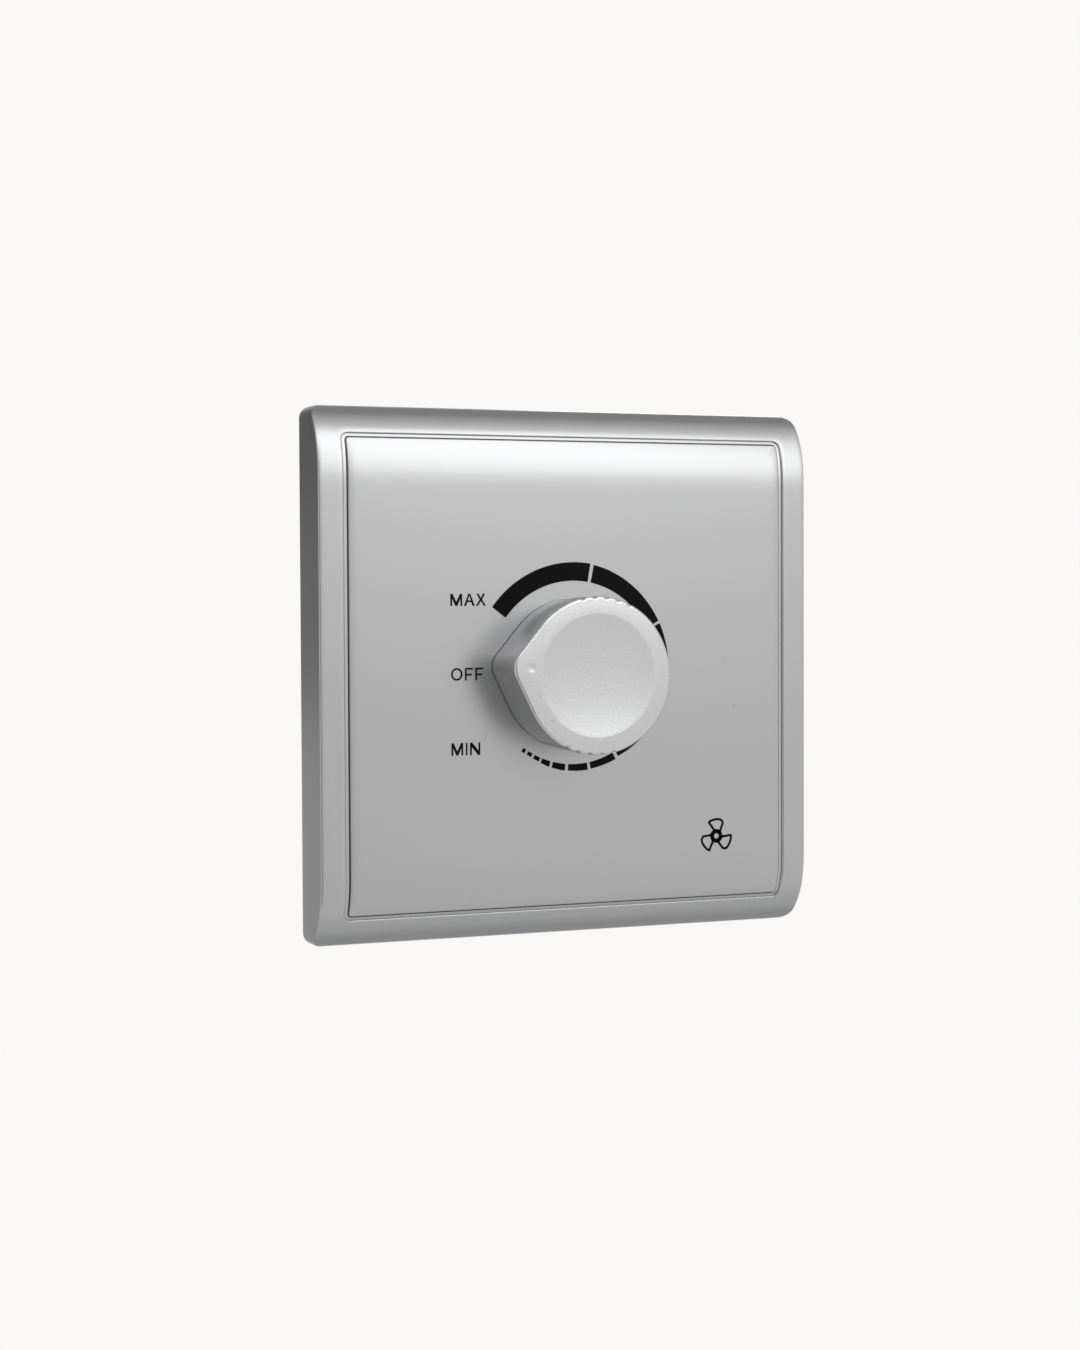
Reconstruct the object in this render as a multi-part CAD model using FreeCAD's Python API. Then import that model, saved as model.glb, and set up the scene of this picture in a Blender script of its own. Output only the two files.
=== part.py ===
# Rotary fan speed control on a square wall plate: a front frame and panel that roll back at the
# top and bottom, a pointer knob on a switched control, and the module that sits in the wall box.
# Millimetres. X is right, Z is up, the front faces -Y and the wall is the plane y = 0.
import FreeCAD, Part
import math
import os

from FreeCAD import Vector

# Front frame and panel
plate_width = 87.0
plate_height = 87.0
plate_depth = 9.7
plate_corner_radius = 2.5
roll_height = 11.7
roll_radius = 15.0
frame_edge_bevel = 0.5
skirt_wall = 2.0
cavity_corner_radius = 1.0
frame_side_width = 4.3
frame_end_width = 4.6
ledge_width = 2.0
ledge_thickness = 1.5
reveal_width = 0.7
reveal_depth = 0.8
reveal_corner_radius = 1.2
land_width = 0.5
land_depth = 0.35
panel_back_thickness = 1.4
panel_seat_gap = 0.05
panel_slip = 0.2
knob_hole_radius = 6.4
hole_rim_wall = 1.2
hole_rim_height = 1.0

# Snap hooks of the panel and nibs of the frame
hook_x = 22.0
hook_z = 31.0
hook_width = 6.0
hook_thickness = 1.4
hook_barb = 0.7
hook_flex_room = 1.2
catch_depth = 1.5
catch_gap = 0.2
catch_land = 0.4
snap_end_gap = 0.4
nib_z = 22.0
nib_length = 8.0
nib_reach = 0.8
nib_relief = 1.0

# Mounting yoke
yoke_thickness = 3.0
yoke_gap = 0.3
yoke_rib_inset = 4.7
yoke_rib_wall = 1.4
yoke_rib_height = 2.0
fixing_centres = 60.3
slot_width = 4.2
slot_length = 6.5
spigot_height = 1.2
spigot_wall = 1.2
spigot_gap = 0.2

# Pointer knob
knob_radius = 12.6
knob_tip_radius = 3.8
knob_tip_reach = 10.95
knob_height = 10.4
knob_gap = 0.4
knob_lean = 0.5
knob_edge_bevel = 0.4
knob_wall = 1.8
knob_face_wall = 1.8
dish_radius = 9.95
dish_depth = 0.5
dimple_reach = 11.7
dimple_radius = 0.9
dimple_depth = 0.35
flute_count = 5
flute_pitch = 9.4
flute_radius = 0.55
flute_depth = 0.25
knob_rib_wall = 1.2
knob_rib_setback = 2.2
boss_radius = 5.2
boss_gap = 0.5
boss_split = 0.9
boss_split_height = 5.0
spring_thickness = 0.5
spring_width = 3.6
spring_length = 7.0
pointer_rise = 7.0

# Switched rotary control
shaft_radius = 3.0
shaft_flat = 1.6
tail_half = 1.4
shaft_end_gap = 0.3
slip_fit = 0.03
running_fit = 0.05
bush_wall = 0.5
bush_stand = 1.0
can_half = 8.3
can_bevel = 2.0
flange_thickness = 1.2
key_tab_width = 2.4
key_tab_thickness = 0.8
key_tab_reach = 6.8
key_tab_length = 2.0
bush_hole_gap = 0.1
nut_across_flats = 10.0
nut_thickness = 2.0
turning_gap = 0.1
carrier_radius = 3.4
carrier_thickness = 1.8
stop_lug_reach = 7.4
stop_lug_width = 18.0
turn_range = 300.0
full_turn = 360.0
stop_clearance = 2.0
stop_angle = 90.0
stop_inner_radius = 5.4
contact_inner = 2.4
contact_outer = 6.2
contact_width = 1.4
contact_thickness = 0.3
finger_height = 0.6
finger_length = 0.8
wafer_thickness = 1.4
wafer_tongue_width = 14.0
wafer_tongue_reach = 10.3
tail_gap = 0.4
tail_end_gap = 0.3
can_wall = 0.4
switch_length = 8.8
switch_half = 7.6
switch_bevel = 3.0
lug_pitch = 5.0
lug_width = 1.4
lug_thickness = 0.5
lug_overlap = 1.8
switch_pin_x = 4.0
switch_pin_z = 5.0

# Rear housing and circuit board
housing_width = 50.0
housing_height = 60.0
housing_wall = 1.8
housing_corner_radius = 3.0
rear_space = 8.6
vent_count = 5
vent_pitch = 4.0
vent_width = 1.8
vent_length = 9.0
board_thickness = 1.6
board_gap = 0.7
board_lift = 0.3
pin_half = 0.4
pin_hole_gap = 0.15
boss_margin = 4.0
yoke_post_half = 3.0
column_half = 3.0
snap_leg_z = 14.0
snap_leg_width = 6.0
snap_leg_wall = 1.2
snap_leg_length = 6.0
snap_barb = 1.2
snap_barb_height = 2.4

# Parts on the board
part_gap = 1.0
choke_x = -5.0
choke_core_radius = 2.0
choke_core_length = 13.0
winding_radius = 3.4
winding_length = 10.0
capacitor_x = 7.2
capacitor_size = (10.0, 10.5, 5.0)
timing_inset = 7.5
timing_z = 4.0
timing_size = (6.0, 7.0, 3.5)
capacitor_bevel = 0.6
sink_thickness = 1.5
sink_margin = 1.5
sink_height = 12.0
triac_z = -3.0
triac_width = 10.0
triac_thickness = 4.4
triac_length = 9.0
triac_tab_thickness = 1.3
triac_tab_length = 6.5
triac_lift = 1.4
triac_leg_width = 0.9
triac_leg_thickness = 0.5
triac_leg_pitch = 2.54
triac_leg_reach = 2.5
clip_width = 4.0
clip_thickness = 0.4
clip_grip = 5.0
thermal_fuse_size = (3.0, 6.0, 5.0)
resistor_insets = ((9.5, -4.0), (5.5, -4.0), (7.5, -9.0))
resistor_size = (2.5, 0.7, 5.0)
diac_inset = 7.5
diac_z = 12.0
diac_size = (2.6, 1.8, 4.0)

# Screw terminals
terminal_width = 22.0
terminal_depth = 12.0
terminal_height = 10.0
terminal_setback = 0.5
terminal_gap = 0.4
terminal_pitch = 10.0
terminal_front_wall = 2.0
clamp_width = 6.0
clamp_length = 7.0
clamp_height = 6.5
clamp_gap = 0.1
wire_bore_radius = 1.6
wire_bore_height = 3.0
wire_entry_half = 1.9
terminal_screw_radius = 1.5
terminal_head_radius = 2.0
terminal_head_height = 2.0
terminal_head_gap = 0.2
drive_slot_width = 0.7
drive_slot_depth = 0.9

# Places along the Y axis, from the knob's face back to the rear wall of the housing
half_width = plate_width / 2
half_height = plate_height / 2
roll_start = half_height - roll_height
front_wall = reveal_depth + ledge_thickness
panel_thickness = reveal_depth + panel_back_thickness
knob_back = -plate_depth - knob_gap
knob_front = knob_back - knob_height
knob_roof = knob_front + dish_depth + knob_face_wall
yoke_front = -yoke_thickness
nut_front = yoke_front - nut_thickness
bush_front = nut_front - bush_stand
boss_back = bush_front - boss_gap
carrier_front = flange_thickness + turning_gap
carrier_back = carrier_front + carrier_thickness
contact_back = carrier_back + contact_thickness
wafer_front = contact_back + finger_height + turning_gap
wafer_back = wafer_front + wafer_thickness
can_back = wafer_back + can_wall
switch_back = can_back + switch_length
board_front = switch_back + board_lift
board_back = board_front + board_thickness
rear_inside = board_back + rear_space
rear_outside = rear_inside + housing_wall

# Places across the plate
opening_half_x = half_width - frame_side_width
opening_half_z = half_height - frame_end_width
yoke_half_x = half_width - skirt_wall - yoke_gap
yoke_half_z = half_height - skirt_wall - yoke_gap
inside_half_x = housing_width / 2 - housing_wall
inside_half_z = housing_height / 2 - housing_wall
board_half_x = inside_half_x - board_gap
board_half_z = inside_half_z - board_gap
boss_x = board_half_x - boss_margin
boss_z = board_half_z - boss_margin
bush_radius = shaft_radius + running_fit + bush_wall
pointer_angle = 180.0 - pointer_rise
terminal_low = terminal_setback - housing_height / 2
terminal_high = terminal_low + terminal_depth
clamp_low = terminal_low + terminal_front_wall + clamp_gap
wire_bore_y = board_back + wire_bore_height
sink_face = sink_margin + sink_thickness - board_half_x
sink_high = boss_z - yoke_post_half - part_gap
timing_x = board_half_x - timing_inset
diac_x = board_half_x - diac_inset
lug_angle = stop_angle - (full_turn - turn_range) / 2

ALONG_X = Vector(1, 0, 0)
ALONG_Y = Vector(0, 1, 0)
ALONG_Z = Vector(0, 0, 1)
ORIGIN = Vector(0, 0, 0)


def block(x0, x1, y0, y1, z0, z1):
    return Part.makeBox(x1 - x0, y1 - y0, z1 - z0, Vector(x0, y0, z0))


def rod(radius, y0, y1, x=0.0, z=0.0):
    """A cylinder along Y."""
    return Part.makeCylinder(radius, y1 - y0, Vector(x, y0, z), ALONG_Y)


def polar(radius, angle, y):
    """A point at an angle seen from the front, counted from +X towards +Z."""
    turn = math.radians(angle)
    return Vector(radius * math.cos(turn), y, radius * math.sin(turn))


def sector(inner, outer, middle, width, y0, y1):
    """Part of a tube, centred on one angle."""
    first, last = middle - width / 2, middle + width / 2
    edges = [
        Part.Arc(polar(outer, first, y0), polar(outer, middle, y0), polar(outer, last, y0)),
        Part.LineSegment(polar(outer, last, y0), polar(inner, last, y0)),
        Part.Arc(polar(inner, last, y0), polar(inner, middle, y0), polar(inner, first, y0)),
        Part.LineSegment(polar(inner, first, y0), polar(outer, first, y0)),
    ]
    face = Part.Face(Part.Wire([edge.toShape() for edge in edges]))
    return face.extrude(Vector(0, y1 - y0, 0))


def prism(points, direction):
    """A flat outline with straight sides, drawn out in one direction."""
    return Part.Face(Part.makePolygon(points + points[:1])).extrude(direction)


def runs_along_y(edge):
    start, end = edge.Vertexes[0].Point, edge.Vertexes[-1].Point
    return abs(start.x - end.x) < 1e-6 and abs(start.z - end.z) < 1e-6


def centred_block(half_x, half_z, y0, y1, x=0.0, z=0.0):
    return block(x - half_x, x + half_x, y0, y1, z - half_z, z + half_z)


def bevelled_case(half_x, half_z, bevel, y0, y1, x=0.0, z=0.0):
    case = centred_block(half_x, half_z, y0, y1, x, z)
    return case.makeChamfer(bevel, [edge for edge in case.Edges if runs_along_y(edge)])


def rounded_prism(half_x, half_z, radius, y0, y1):
    box = block(-half_x, half_x, y0, y1, -half_z, half_z)
    return box.makeFillet(radius, [edge for edge in box.Edges if runs_along_y(edge)])


def left_and_right(shape):
    return [shape, shape.mirror(ORIGIN, ALONG_X)]


def four_ways(shape):
    """The shape in all four quarters of the plate."""
    pair = left_and_right(shape)
    return pair + [half.mirror(ORIGIN, ALONG_Z) for half in pair]


def turned(shape):
    """Turns a piece drawn with its pointer along +X to where the knob stands at rest."""
    return shape.rotated(ORIGIN, ALONG_Y, -pointer_angle)


def face_y(z, inset):
    """Depth of the rolled front face, set back by inset, at one height."""
    rise = max(abs(z) - roll_start, 0.0)
    return roll_radius - plate_depth - math.sqrt((roll_radius - inset) ** 2 - rise ** 2)


def rolled_block(inset, half_x, half_z):
    """Everything behind the rolled front face, back to the wall."""
    def at(z):
        return Vector(-half_x, face_y(z, inset), z)
    middle = (roll_start + half_z) / 2
    edges = [
        Part.LineSegment(Vector(-half_x, 0, half_z), at(half_z)),
        Part.Arc(at(half_z), at(middle), at(roll_start)),
        Part.LineSegment(at(roll_start), at(-roll_start)),
        Part.Arc(at(-roll_start), at(-middle), at(-half_z)),
        Part.LineSegment(at(-half_z), Vector(-half_x, 0, -half_z)),
        Part.LineSegment(Vector(-half_x, 0, -half_z), Vector(-half_x, 0, half_z)),
    ]
    face = Part.Face(Part.Wire([edge.toShape() for edge in edges]))
    return face.extrude(Vector(2 * half_x, 0, 0))


def front_layer(outline, near, far):
    """The part of an outline's prism between two depths under the rolled face."""
    outer = rolled_block(near, half_width, half_height)
    return outline.common(outer).cut(rolled_block(far, half_width, half_height))


def bevel_front_rim(shape, size):
    """Bevels the edges where the rolled face meets the sides."""
    bounds = shape.BoundBox
    rim = []
    for edge in shape.Edges:
        middle = edge.valueAt((edge.FirstParameter + edge.LastParameter) / 2)
        at_side = bounds.XMax - abs(middle.x) < reveal_corner_radius
        at_end = bounds.ZMax - abs(middle.z) < reveal_corner_radius
        on_face = all(abs(v.Y - face_y(v.Z, 0.0)) < 1e-4 for v in edge.Vertexes)
        if on_face and (at_side or at_end):
            rim.append(edge)
    return shape.makeChamfer(size, rim)


def surround_frame():
    outside = rolled_block(0.0, half_width, half_height)
    corners = [edge for edge in outside.Edges if runs_along_y(edge)]
    outside = bevel_front_rim(outside.makeFillet(plate_corner_radius, corners), frame_edge_bevel)
    cavity = rolled_block(front_wall, half_width - skirt_wall, half_height - skirt_wall)
    corners = [edge for edge in cavity.Edges if runs_along_y(edge)]
    cavity = cavity.makeFillet(cavity_corner_radius, corners)
    land = rounded_prism(opening_half_x, opening_half_z, reveal_corner_radius, -plate_depth - 1, 0)
    land = land.cut(rolled_block(land_depth, half_width, half_height))
    recess = rounded_prism(opening_half_x - land_width, opening_half_z - land_width,
                           reveal_corner_radius - land_width, -plate_depth - 1, 0)
    recess = recess.cut(rolled_block(reveal_depth, half_width, half_height))
    window = rounded_prism(opening_half_x - ledge_width, opening_half_z - ledge_width,
                           reveal_corner_radius, -plate_depth - 1, 0)
    frame = outside.cut(cavity).cut(land).cut(recess).cut(window)
    root = half_width - skirt_wall / 2
    tip = half_width - skirt_wall - nib_reach
    catch = catch_gap - catch_depth
    low = nib_z - nib_length / 2
    nib = prism([Vector(root, catch, low), Vector(tip, catch, low),
                 Vector(tip, catch + catch_land, low), Vector(root, -snap_end_gap, low)],
                Vector(0, 0, nib_length))
    return frame.fuse(four_ways(nib)).removeSplitter()


def front_panel():
    lip = rounded_prism(opening_half_x - reveal_width, opening_half_z - reveal_width,
                        reveal_corner_radius - reveal_width, -plate_depth - 1, 0)
    lip = front_layer(lip, 0.0, reveal_depth - panel_seat_gap)
    inner = rounded_prism(opening_half_x - ledge_width - panel_slip, opening_half_z - ledge_width - panel_slip,
                          reveal_corner_radius, -plate_depth - 1, 0)
    inner = front_layer(inner, reveal_depth / 2, panel_thickness)
    back = panel_thickness - plate_depth
    rim = rod(knob_hole_radius + hole_rim_wall, back, back + hole_rim_height)
    hole = rod(knob_hole_radius, -plate_depth - 1, back + hole_rim_height)
    low, high = hook_z - hook_thickness / 2, hook_z + hook_thickness / 2
    side = hook_x - hook_width / 2
    leg = block(side, side + hook_width, face_y(hook_z, panel_thickness) - panel_back_thickness / 2,
                -snap_end_gap, low, high)
    catch = catch_gap - catch_depth
    barb = prism([Vector(side, catch, low), Vector(side, catch, high + hook_barb),
                  Vector(side, catch + catch_land, high + hook_barb), Vector(side, -snap_end_gap, low)],
                 Vector(hook_width, 0, 0))
    panel = lip.fuse([inner, rim] + four_ways(leg.fuse(barb)))
    return panel.cut(hole).removeSplitter()


def mounting_yoke():
    yoke = rounded_prism(yoke_half_x, yoke_half_z, cavity_corner_radius + yoke_gap, yoke_front, 0)
    rib_top = yoke_front - yoke_rib_height
    rib_half_x, rib_half_z = yoke_half_x - yoke_rib_inset, yoke_half_z - yoke_rib_inset
    rib = centred_block(rib_half_x, rib_half_z, rib_top, yoke_front)
    rib = rib.cut(centred_block(rib_half_x - yoke_rib_wall, rib_half_z - yoke_rib_wall, rib_top, yoke_front))
    spigot_half_x, spigot_half_z = inside_half_x - spigot_gap, inside_half_z - spigot_gap
    spigot = centred_block(spigot_half_x, spigot_half_z, 0, spigot_height)
    spigot = spigot.cut(centred_block(spigot_half_x - spigot_wall, spigot_half_z - spigot_wall, 0, spigot_height))
    post = centred_block(yoke_post_half, yoke_post_half, 0, board_front, boss_x, boss_z)
    leg = block(spigot_half_x - snap_leg_wall, spigot_half_x, 0, snap_leg_length,
                snap_leg_z - snap_leg_width / 2, snap_leg_z + snap_leg_width / 2)
    low, barb_root = snap_leg_z - snap_leg_width / 2, snap_leg_length - snap_barb_height
    barb = prism([Vector(spigot_half_x - snap_leg_wall, barb_root, low), Vector(spigot_half_x + snap_barb, barb_root, low),
                  Vector(spigot_half_x - snap_leg_wall, snap_leg_length, low)], Vector(0, 0, snap_leg_width))
    yoke = yoke.fuse([rib, spigot] + four_ways(post) + four_ways(leg.fuse(barb)))
    bush_hole = rod(bush_radius + bush_hole_gap, yoke_front, 0)
    key_hole = centred_block(key_tab_thickness / 2 + bush_hole_gap, key_tab_width / 2 + bush_hole_gap,
                             yoke_front, 0, -key_tab_reach)
    slot_middle = fixing_centres / 2
    straight = (slot_length - slot_width) / 2
    slot = rod(slot_width / 2, yoke_front, 0, slot_middle - straight)
    slot = slot.fuse([rod(slot_width / 2, yoke_front, 0, slot_middle + straight),
                      block(slot_middle - straight, slot_middle + straight, yoke_front, 0,
                            -slot_width / 2, slot_width / 2)]).removeSplitter()
    low = hook_z - hook_thickness / 2 - hook_flex_room
    high = hook_z + hook_thickness / 2 + catch_gap
    side = hook_x - hook_width / 2 - catch_gap
    across = hook_width + 2 * catch_gap
    passage = block(side, side + across, yoke_front, 0, low, high)
    catch = block(side, side + across, -catch_depth, 0, low, high + hook_barb + catch_gap)
    relief = block(yoke_half_x - nib_relief, half_width, -catch_depth, 0,
                   nib_z - nib_length / 2 - catch_gap, nib_z + nib_length / 2 + catch_gap)
    cuts = left_and_right(slot) + four_ways(passage.fuse(catch)) + four_ways(relief)
    return yoke.cut([bush_hole, key_hole] + cuts).removeSplitter()


def rear_housing():
    outside = rounded_prism(housing_width / 2, housing_height / 2, housing_corner_radius, 0, rear_outside)
    inside = centred_block(inside_half_x, inside_half_z, 0, rear_inside)
    column = block(boss_x - column_half, inside_half_x, board_back, rear_inside, boss_z - column_half, inside_half_z)
    housing = outside.cut(inside).fuse(four_ways(column))
    window = block(inside_half_x, housing_width / 2,
                   snap_leg_length - snap_barb_height - catch_gap, snap_leg_length + catch_gap,
                   snap_leg_z - snap_leg_width / 2 - catch_gap, snap_leg_z + snap_leg_width / 2 + catch_gap)
    bay = block(-terminal_width / 2 - terminal_gap, terminal_width / 2 + terminal_gap,
                board_back - terminal_gap, rear_outside,
                -housing_height / 2, terminal_high + terminal_gap)
    vents = []
    for number in range(vent_count):
        z = (number - (vent_count - 1) / 2) * vent_pitch
        vent = block(inside_half_x, housing_width / 2, board_front - vent_length, board_front,
                     z - vent_width / 2, z + vent_width / 2)
        vents += left_and_right(vent)
    return housing.cut(four_ways(window) + [bay] + vents).removeSplitter()


def pointer_outline(grow, y):
    """A round body with two straight flanks to a round tip along +X."""
    body, tip = knob_radius + grow, knob_tip_radius + grow
    lean = math.degrees(math.acos((knob_radius - knob_tip_radius) / knob_tip_reach))
    ahead = Vector(knob_tip_reach, 0, 0)
    edges = [
        Part.LineSegment(polar(body, lean, y), ahead + polar(tip, lean, y)),
        Part.Arc(ahead + polar(tip, lean, y), ahead + polar(tip, 0, y), ahead + polar(tip, -lean, y)),
        Part.LineSegment(ahead + polar(tip, -lean, y), polar(body, -lean, y)),
        Part.Arc(polar(body, -lean, y), polar(body, 180, y), polar(body, lean, y)),
    ]
    return Part.Face(Part.Wire([edge.toShape() for edge in edges]))


def keyed_rod(grow, y0, y1):
    """The shaft's section with its flat towards the pointer."""
    flat = shaft_flat + grow
    side = 2 * shaft_radius
    return rod(shaft_radius + grow, y0, y1).cut(block(flat, flat + side, y0, y1, -side, side))


def control_knob():
    foot = pointer_outline(-knob_lean, knob_back).OuterWire
    knob = Part.makeLoft([foot, pointer_outline(0.0, knob_front).OuterWire], True, True)
    rim = [edge for edge in knob.Edges if all(abs(v.Y - knob_front) < 1e-6 for v in edge.Vertexes)]
    knob = knob.makeChamfer(knob_edge_bevel, rim)
    dish_sphere = (dish_radius ** 2 + dish_depth ** 2) / (2 * dish_depth)
    dish = Part.makeSphere(dish_sphere, Vector(0, knob_front + dish_depth - dish_sphere, 0))
    dimple = Part.makeSphere(dimple_radius, Vector(dimple_reach, knob_front + dimple_depth - dimple_radius, 0))
    flutes = []
    for side in (90.0, -90.0):
        for number in range(flute_count):
            angle = side + (number - (flute_count - 1) / 2) * flute_pitch
            head = polar(knob_radius - flute_depth + flute_radius, angle, knob_front)
            fall = Vector(0, knob_height + flute_radius, 0) - polar(knob_lean, angle, 0)
            flutes.append(Part.makeCylinder(flute_radius, fall.Length, head, fall))
    hollow = pointer_outline(-knob_wall, knob_back).extrude(Vector(0, knob_roof - knob_back, 0))
    rib_back = knob_back - knob_rib_setback
    reach = knob_radius - knob_wall / 2
    rib = block(-reach, reach, knob_roof, rib_back, -knob_rib_wall / 2, knob_rib_wall / 2)
    ribs = [rib.rotated(ORIGIN, ALONG_Y, angle) for angle in (45, 135)]
    boss = rod(boss_radius, knob_roof, boss_back)
    bore = keyed_rod(slip_fit, knob_roof, boss_back)
    pocket = spring_block(slip_fit)
    split = block(-boss_split / 2, boss_split / 2, boss_back - boss_split_height, boss_back,
                  -boss_radius, boss_radius)
    knob = knob.cut(flutes + [dish, dimple, hollow]).fuse(ribs + [boss]).cut([bore, pocket, split])
    return turned(knob.removeSplitter())


def spring_block(grow):
    """The leaf spring that presses on the shaft's flat, or its pocket."""
    front = knob_roof + shaft_end_gap
    inner = shaft_flat + slip_fit - grow
    return block(inner, inner + spring_thickness + 2 * grow, front - grow, front + spring_length + grow,
                 -spring_width / 2 - grow, spring_width / 2 + grow)


def knob_spring():
    return turned(spring_block(0.0))


def control_shaft():
    keyed = keyed_rod(0.0, knob_roof + shaft_end_gap, boss_back)
    plain = rod(shaft_radius, boss_back, carrier_front)
    tail = centred_block(tail_half, tail_half, carrier_front, wafer_back - tail_end_gap)
    return turned(keyed.fuse([plain, tail]).removeSplitter())


def wiper_carrier():
    hub = rod(carrier_radius, carrier_front, carrier_back)
    square = centred_block(tail_half + slip_fit, tail_half + slip_fit, carrier_front, carrier_back)
    arm = sector(carrier_radius / 2, stop_lug_reach, lug_angle, stop_lug_width, carrier_front, carrier_back)
    return hub.fuse(arm).cut(turned(square)).removeSplitter()


def wiper_contact():
    half = contact_width / 2
    leaf = block(contact_inner, contact_outer, carrier_back, contact_back, -half, half)
    finger = block(contact_outer - finger_length, contact_outer, carrier_back, contact_back + finger_height,
                   -half, half)
    return leaf.fuse(finger).removeSplitter().rotated(ORIGIN, ALONG_Y, -lug_angle)


def pot_bush():
    barrel = rod(bush_radius, bush_front, 0)
    flange = bevelled_case(can_half, can_half, can_bevel, 0, flange_thickness)
    key_tab = centred_block(key_tab_thickness / 2, key_tab_width / 2, -key_tab_length, 0, -key_tab_reach)
    bore = rod(shaft_radius + running_fit, bush_front, flange_thickness)
    return barrel.fuse([flange, key_tab]).cut(bore).removeSplitter()


def bush_nut():
    corner = nut_across_flats / math.sqrt(3)
    hexagon = prism([polar(corner, 60 * side, nut_front) for side in range(6)], Vector(0, nut_thickness, 0))
    return hexagon.cut(rod(bush_radius + slip_fit, nut_front, yoke_front))


def track_wafer():
    half = can_half - can_wall - turning_gap
    plate = bevelled_case(half, half, can_bevel, wafer_front, wafer_back)
    tongue = block(-wafer_tongue_width / 2, wafer_tongue_width / 2, wafer_front, wafer_back,
                   -wafer_tongue_reach, 0)
    hole = rod(tail_half * math.sqrt(2) + tail_gap, wafer_front, wafer_back)
    return plate.fuse(tongue).cut(hole).removeSplitter()


def pot_lugs():
    lugs = []
    for x in (-lug_pitch, 0.0, lug_pitch):
        left, right = x - lug_width / 2, x + lug_width / 2
        edge = -wafer_tongue_reach
        foot = block(left, right, wafer_back, wafer_back + lug_thickness, edge - lug_thickness,
                     edge + lug_overlap)
        leg = block(left, right, wafer_back, board_back, edge - lug_thickness, edge)
        lugs.append(foot.fuse(leg).removeSplitter())
    return Part.makeCompound(lugs)


def pot_can():
    inside = can_half - can_wall
    outer = bevelled_case(can_half, can_half, can_bevel, flange_thickness, can_back)
    can = outer.cut(bevelled_case(inside, inside, can_bevel, flange_thickness, wafer_back))
    stop_width = full_turn - turn_range - stop_lug_width - 2 * stop_clearance
    stop = sector(stop_inner_radius, 2 * can_half, stop_angle, stop_width, flange_thickness, carrier_back)
    stop = stop.common(outer)
    half_tongue = wafer_tongue_width / 2 + turning_gap
    notch = block(-half_tongue, half_tongue, wafer_front - turning_gap, wafer_back, -can_half, 0)
    return can.fuse(stop).cut(notch).removeSplitter()


def switch_housing():
    return bevelled_case(switch_half, switch_half, switch_bevel, can_back, switch_back)


def switch_lugs():
    pin = block(switch_pin_x - lug_width / 2, switch_pin_x + lug_width / 2, switch_back, board_back,
                switch_pin_z - lug_thickness / 2, switch_pin_z + lug_thickness / 2)
    return Part.makeCompound(left_and_right(pin))


def board_pin(x, z, grow=0.0):
    """A square lead through the board, or its hole."""
    return centred_block(pin_half + grow, pin_half + grow, board_front, board_back, x, z)


def capacitor_places():
    """Each box capacitor as (x, z, size)."""
    top = board_half_z - part_gap - capacitor_size[2] / 2
    return (capacitor_x, top, capacitor_size), (timing_x, timing_z, timing_size)


def sink_pegs():
    middle = sink_face - sink_thickness / 2
    return (middle, part_gap - sink_high), (middle, sink_high - part_gap)


def triac_leg_places():
    """Where the three legs meet the board, as (x, z)."""
    x = sink_face + triac_thickness / 2 + triac_leg_pitch / 2
    z = triac_z - triac_length / 2 - triac_leg_reach
    return [(x + number * triac_leg_pitch, z) for number in (-1, 0, 1)]


def clamp_middle():
    return clamp_low + clamp_length / 2


def circuit_board():
    board = centred_block(board_half_x, board_half_z, board_front, board_back)
    places = list(sink_pegs()) + [(side * terminal_pitch / 2, clamp_middle()) for side in (-1, 1)]
    for x, z, size in capacitor_places():
        places += [(x - size[0] / 3, z), (x + size[0] / 3, z)]
    holes = [board_pin(x, z, pin_hole_gap) for x, z in places + triac_leg_places()]
    half, thin = lug_width / 2 + pin_hole_gap, lug_thickness / 2 + pin_hole_gap
    row = -wafer_tongue_reach - lug_thickness / 2
    holes += [centred_block(half, thin, board_front, board_back, x, row) for x in (-lug_pitch, 0.0, lug_pitch)]
    holes += left_and_right(centred_block(half, thin, board_front, board_back, switch_pin_x, switch_pin_z))
    return board.cut(holes)


def choke_y():
    return board_front - board_lift - winding_radius


def choke_z():
    return board_half_z - part_gap - winding_radius


def choke_bar(radius, length):
    start = Vector(choke_x - length / 2, choke_y(), choke_z())
    return Part.makeCylinder(radius, length, start, ALONG_X)


def choke_core():
    return choke_bar(choke_core_radius, choke_core_length)


def choke_winding():
    return choke_bar(winding_radius, winding_length).cut(choke_bar(choke_core_radius + slip_fit, winding_length))


def box_capacitor(x, z, size):
    wide, deep, high = size
    case = bevelled_case(wide / 2, high / 2, capacitor_bevel, board_front - deep, board_front, x, z)
    return case.fuse([board_pin(x - wide / 3, z), board_pin(x + wide / 3, z)]).removeSplitter()


def heat_sink():
    plate = block(sink_face - sink_thickness, sink_face, board_front - sink_height, board_front,
                  -sink_high, sink_high)
    return plate.fuse([board_pin(x, z) for x, z in sink_pegs()]).removeSplitter()


def triac():
    near, far = board_front - triac_lift - triac_width, board_front - triac_lift
    low, high = triac_z - triac_length / 2, triac_z + triac_length / 2
    case = block(sink_face, sink_face + triac_thickness, near, far, low, high)
    tab = block(sink_face, sink_face + triac_tab_thickness, near, far, triac_z, high + triac_tab_length)
    half, thin = triac_leg_width / 2, triac_leg_thickness / 2
    root = sink_face + triac_thickness / 2
    legs = []
    for number, (x, z) in enumerate(triac_leg_places()):
        y = (near + far) / 2 + (number - 1) * triac_leg_pitch
        legs.append(block(root - half, root + half, y - thin, y + thin, z - thin, low))
        legs.append(block(min(x, root) - half, max(x, root) + half, y - thin, y + thin, z - thin, z + thin))
        legs.append(block(x - half, x + half, y - thin, board_front, z - thin, z + thin))
        legs.append(board_pin(x, z))
    return case.fuse([tab] + legs).removeSplitter()


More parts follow.
